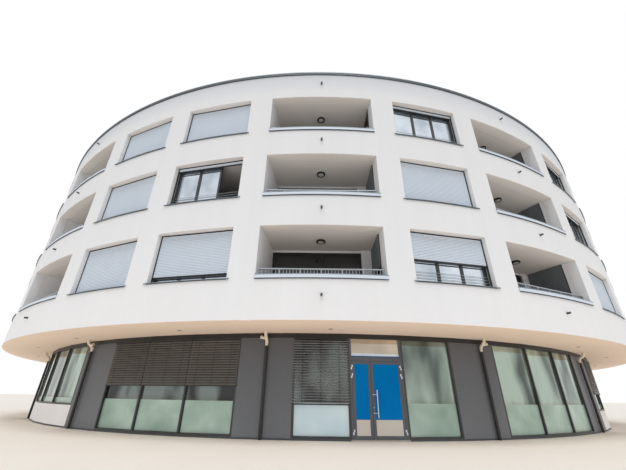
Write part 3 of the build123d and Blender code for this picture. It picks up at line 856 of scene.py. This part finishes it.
def makeBlind(slats, unit, atEntrance):
    spot, depth = unit.spot, blind["depth"]
    back = unit.face + max(barWidths(unit)) * cos(unit.bend) * sin(unit.bend) + blind["gap"]
    centre = back + depth / 2
    bottom = blind["entranceBottom"] if atEntrance else blind["bottom"]
    low, high = bottom + blind["foot"], fasciaBottom - blind["head"]
    reach, inset = centre * unit.slope - blind["edge"], blind["footInset"]
    slats.box(spot, (-reach, reach), (back, back + depth), (high, fasciaBottom), 1)
    slats.box(spot, (-reach, reach), (back + inset, back + depth - inset), (bottom, low), 1)
    tilt = radians(blind["openTilt"] if atEntrance else blind["tilt"])
    count = round((high - low) / blind["pitch"])
    pitch = (high - low) / count
    half = min(depth / 2 / cos(tilt), pitch / 2) - 0.001
    ahead, rise = half * cos(tilt), half * sin(tilt)
    fold, thick = blind["fold"], blind["thickness"]
    for i in range(count):
        z = low + (i + 0.5) * pitch
        upper = [(centre - ahead, z + rise), (centre, z + fold / 3), (centre + ahead, z - rise),
                 (centre + ahead - fold * 0.4, z - rise - fold)]
        lower = [(v - thick, h - thick) for v, h in reversed(upper)]
        slats.loft([[spotPoint(spot, u, v, h) for v, h in upper + lower] for u in (-reach, reach)], 2 * atEntrance)
    for i in range(blind["cords"]):
        u = -reach + 2 * reach * (i + 0.5) / blind["cords"]
        slats.box(spot, span(u, blind["cord"]), (back + depth - blind["cordDepth"], back + depth), (bottom, high), 1)


makeShopFronts()
print("ground floor glazing is built")


# Finish, rounded edge and names of the pieces kept as they are
kept = [
    ("concrete", 0, "ground_slab"), ("soffitPaint", 0, "first_floor_slab"), ("gravelStone", 0, "roof_gravel"),
    ("ceilingPaint", 0, "floor_slab_2 floor_slab_3 roof_slab"), ("fasciaPaint", 0.004, "fascias"),
    ("plaster", 0.006, "loggia_walls plinth_walls"), ("darkCladding", 0.006, "ground_panels"),
    ("darkFrame", 0.004, "ground_mullions base_rails"), ("doorPaint", 0.004, "door_jambs door_transom"),
    ("doorPaint", 0.003, "left_leaf_frame right_leaf_frame"), ("warmGlass", 0, "door_top_light"),
    ("shopGlass", 0, "left_leaf_glass right_leaf_glass"),
]
for paint, edge, names in kept:
    for node in [nodes[name] for name in names.split()]:
        node.data.materials.clear()
        node.data.materials.append(finishes[paint])
        if edge:
            roundEdges(node, edge)
print("kept pieces are painted")


# Entrance door: sheets on the glass, hinges, lock and pull handle

door = dict(
    jamb=0.06, stile=0.085, edgeGap=0.006, margin=0.004, sheet=0.002, sheetBottom=0.56,
    sheetGap=0.01, strip=(0.03, 0.1), stripLine=(0.004, 0.029),
)
hinge = dict(
    levels=[0.23, 1.77, 2.02], length=0.07, offset=0.012, radius=0.009, joint=0.0005, edge=0.001,
    plate=0.034, plateThickness=0.006, plateRadius=0.011,
    screwIn=0.022, screwEnd=0.018, screwRadius=0.004, screwHead=0.0015,
)
handle = dict(
    range=(0.6, 1.37), radius=0.015, reach=0.07, inset=0.15, armRadius=0.008, armInset=0.13,
    ends=[(0, 0.6), (0.003, 0.9), (0.008, 1)], rose=(0.016, 0.005),
    lockRise=0.88, lockRadius=0.016, lockDepths=(0.006, 0.009), lockShare=0.55,
)


def nodeSpan(name, spot):  # left, right and front of a node in the door's directions
    corners = [v.co.xy for v in nodes[name].data.vertices]
    across = [c.dot(spot[1]) for c in corners]
    return min(across), max(across), max(c.dot(spot[2]) for c in corners)


def makeDoorSheets():
    margin = door["margin"]

    def addSheet(shape, node, low, high, mark=0):
        left, right, out = nodeSpan(node, entrance.spot)
        across, deep = (left + margin, right - margin), (out + skinGap, out + door["sheet"])
        shape.box(entrance.spot, across, deep, (low, high), mark)

    for side in ("left", "right"):
        node = f"{side}_leaf_glass"
        low, high = (corner.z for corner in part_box(node))
        for name, paint, bottom, top in (
                ("blue", "posterBlue", door["sheetBottom"], high - margin),
                ("lower", "posterPale", low + margin, door["sheetBottom"] - door["sheetGap"])):
            sheet = Shape()
            addSheet(sheet, node, bottom, top)
            sheet.piece(f"{side}_{name}_sheet", paint, "door_glass", body=f"{side}_door_leaf")
    strip, low = Shape(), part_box("door_top_light")[0].z
    for mark, (bottom, top) in enumerate((door["strip"], door["stripLine"])):
        addSheet(strip, "door_top_light", low + bottom, low + top, mark)
    strip.piece("top_light_strip", "posterWhite posterBlue", "door_glass")


def addDisc(shape, centre, depths, radius, sides, mark=0):  # a flat round form on the door's face
    ahead = Vector((*entrance.spot[2], 0))
    shape.tube([centre + depth * ahead for depth in depths], radius, sides, mark)


def makeHinge(shape, line, low, side):  # a barrel with a round-cornered plate to one side
    spot, high = entrance.spot, low + hinge["length"]
    barrel = [spotPoint(spot, line, entrance.face + hinge["offset"], z) for z in (low, high)]
    shape.tube(barrel, hinge["radius"])
    r, width = hinge["plateRadius"], hinge["plate"]
    corner = [(width - r + r * sin(pi * k / 8), r * cos(pi * k / 8) - r) for k in range(5)]
    outline = [(0, low), (0, high)] + [(u, high + drop) for u, drop in corner]
    outline += [(u, low - drop) for u, drop in reversed(corner)]
    depths = (entrance.face + skinGap, entrance.face + hinge["plateThickness"])
    shape.loft([[spotPoint(spot, line + side * u, v, z) for u, z in outline] for v in depths])
    for z in (low + hinge["screwEnd"], high - hinge["screwEnd"]):
        screw = spotPoint(spot, line + side * hinge["screwIn"], depths[1], z)
        addDisc(shape, screw, (0, hinge["screwHead"]), hinge["screwRadius"], 8)


def makeHinges():
    onFrame = Shape()
    line = entrance.face * entrance.slope - barWidths(entrance)[0] - door["jamb"] - door["edgeGap"] / 2
    for side, name in ((-1, "left"), (1, "right")):
        onLeaf = Shape()
        for level in hinge["levels"]:
            makeHinge(onLeaf, side * line, level + hinge["joint"], -side)
            makeHinge(onFrame, side * line, level - hinge["length"], side)
        onLeaf.piece(f"{name}_hinge_wings", "brushedSteel", "stainless", body=f"{name}_door_leaf",
                     replaced=f"{name}_leaf_hinges", bevel=hinge["edge"])
    onFrame.piece("frame_hinge_wings", "brushedSteel", "stainless", replaced="frame_hinges", bevel=hinge["edge"])


def makeHandle():
    bars, lock = Shape(), Shape()
    spot, face = entrance.spot, entrance.face + skinGap
    meeting = nodeSpan("right_leaf_glass", spot)[0] - door["stile"]
    out = entrance.face + handle["reach"]
    bar, foot = meeting + handle["inset"], meeting + door["stile"] / 2
    low, high = handle["range"]
    rings = [(share * handle["radius"], low + rise) for rise, share in handle["ends"]]
    rings += [(share * handle["radius"], high - rise) for rise, share in reversed(handle["ends"])]
    bars.turned(movedSpot(spot, bar, out), rings, 24)
    for z in (low + handle["armInset"], high - handle["armInset"]):
        root = spotPoint(spot, foot, face, z)
        bars.tube([root, spotPoint(spot, bar, out, z)], handle["armRadius"])
        addDisc(bars, root, (0, handle["rose"][1]), handle["rose"][0], 20)
    centre, (near, far) = spotPoint(spot, foot, face, handle["lockRise"]), handle["lockDepths"]
    addDisc(lock, centre, (0, near), handle["lockRadius"], 24)
    addDisc(lock, centre, (near, far), handle["lockRadius"] * handle["lockShare"], 16, 1)
    bars.piece("long_handle", "brushedSteel", "stainless", body="right_door_leaf", replaced="pull_handle")
    lock.piece("door_lock", "brushedSteel blackPaint", "stainless", body="right_door_leaf", bevel=hinge["edge"])


makeDoorSheets()
makeHinges()
makeHandle()
print("entrance door is dressed")


# Floor, world, lamps and camera

stage = dict(
    floorSize=400,
    floorLook=dict(light=(250, 243, 234), dark=(245, 238, 228), grain=3, rough=(0.8, 0.9), bump=0.05),
    worldStrength=0.52, skyTint=(0.93, 0.97, 1.0), sunStrength=1.45, sunAngle=40, sunTurn=(27, 0, 0),
    fillSize=60, fillStrength=0.47, fillColour=(1.0, 0.92, 0.84), fillHeight=0.01,
)
photo = dict(place=(-0.179, -28.91, 1.1615), heading=0.57526, pitch=26.823, roll=0.838, lens=18.358)


def makeFloor():
    mesh = bpy.data.meshes.new("floor")
    half = stage["floorSize"] / 2
    mesh.from_pydata([(-half, -half, 0), (half, -half, 0), (half, half, 0), (-half, half, 0)], [], [(0, 1, 2, 3)])
    mesh.materials.append(makeFinish("paleFloor", stage["floorLook"]))
    floor = newObject("floor", mesh)


def makeWorld():
    world = bpy.data.worlds.new("softSky")
    world.use_nodes = True
    bpy.context.scene.world = world
    tree = world.node_tree
    background = tree.nodes["Background"].inputs
    rays = addNode(tree, "LightPath", {}).outputs
    seen = mathNode(tree, "MAXIMUM", rays["Is Camera Ray"], rays["Is Glossy Ray"])
    seen = mathNode(tree, "MAXIMUM", seen, rays["Is Transmission Ray"])
    feed(tree, background["Color"], mixColours(tree, seen, (*stage["skyTint"], 1.0), (1.0, 1.0, 1.0, 1.0)))
    feed(tree, background["Strength"], mapRange(tree, seen, stage["worldStrength"], 1.0))


def makeLamps():
    sun = bpy.data.lights.new("softSun", "SUN")
    sun.energy = stage["sunStrength"]
    sun.angle = radians(stage["sunAngle"])
    newObject("softSun", sun).rotation_euler = [radians(a) for a in stage["sunTurn"]]
    fill = bpy.data.lights.new("floorFill", "AREA")  # warm light that comes back up from the floor
    fill.shape = "SQUARE"
    fill.size = stage["fillSize"]
    fill.energy = stage["fillStrength"] * pi * stage["fillSize"] ** 2
    fill.color = stage["fillColour"]
    below = newObject("floorFill", fill)
    below.rotation_euler = (pi, 0, 0)
    below.location = (0, 0, stage["fillHeight"])
    below.visible_camera = below.visible_glossy = below.visible_transmission = False


def makeCamera():
    camera = bpy.data.cameras.new("photoView")
    camera.lens = photo["lens"]
    camera.sensor_fit = "HORIZONTAL"
    view = newObject("photoView", camera)
    place = Matrix.Translation(photo["place"])
    for axis, angle in (("Z", photo["heading"]), ("X", 90 + photo["pitch"]), ("Z", photo["roll"])):
        place = place @ Matrix.Rotation(radians(angle), 4, axis)
    view.matrix_world = place
    bpy.context.scene.camera = view


makeFloor()
makeWorld()
makeLamps()
makeCamera()
bpy.context.scene.view_settings.view_transform = "Standard"
print("floor, light and camera are set")
